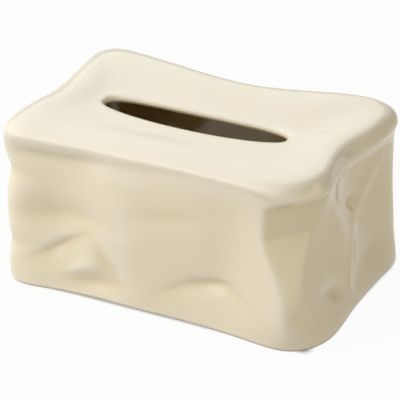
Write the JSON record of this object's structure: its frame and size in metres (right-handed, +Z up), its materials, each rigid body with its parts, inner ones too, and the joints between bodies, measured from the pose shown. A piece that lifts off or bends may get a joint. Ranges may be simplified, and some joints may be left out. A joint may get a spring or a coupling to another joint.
{
  "type": "tissue box cover",
  "caption": "Glazed ceramic cover for a pack of tissues: a soft, dented oblong shell, open underneath, with an oval slot in its overhanging top.",
  "frame": {"origin": "centre of the bounding box in plan, on the surface that the cover stands on", "axes": "+X along the length to the right, +Y from the front to the back, +Z up"},
  "size_m": [0.2212, 0.15, 0.1132],
  "materials": {
    "glaze": "glossy ivory glaze",
    "pad": "matt",
    "adhesive": "satin"
  },
  "bodies": {
    "root": {"cover_shell": "glaze", "foot_pad_front_left": "pad", "foot_pad_front_right": "pad", "foot_pad_back_right": "pad", "foot_pad_back_left": "pad", "pad_adhesive_front_left": "adhesive", "pad_adhesive_front_right": "adhesive", "pad_adhesive_back_right": "adhesive", "pad_adhesive_back_left": "adhesive"}
  },
  "joints": []
}
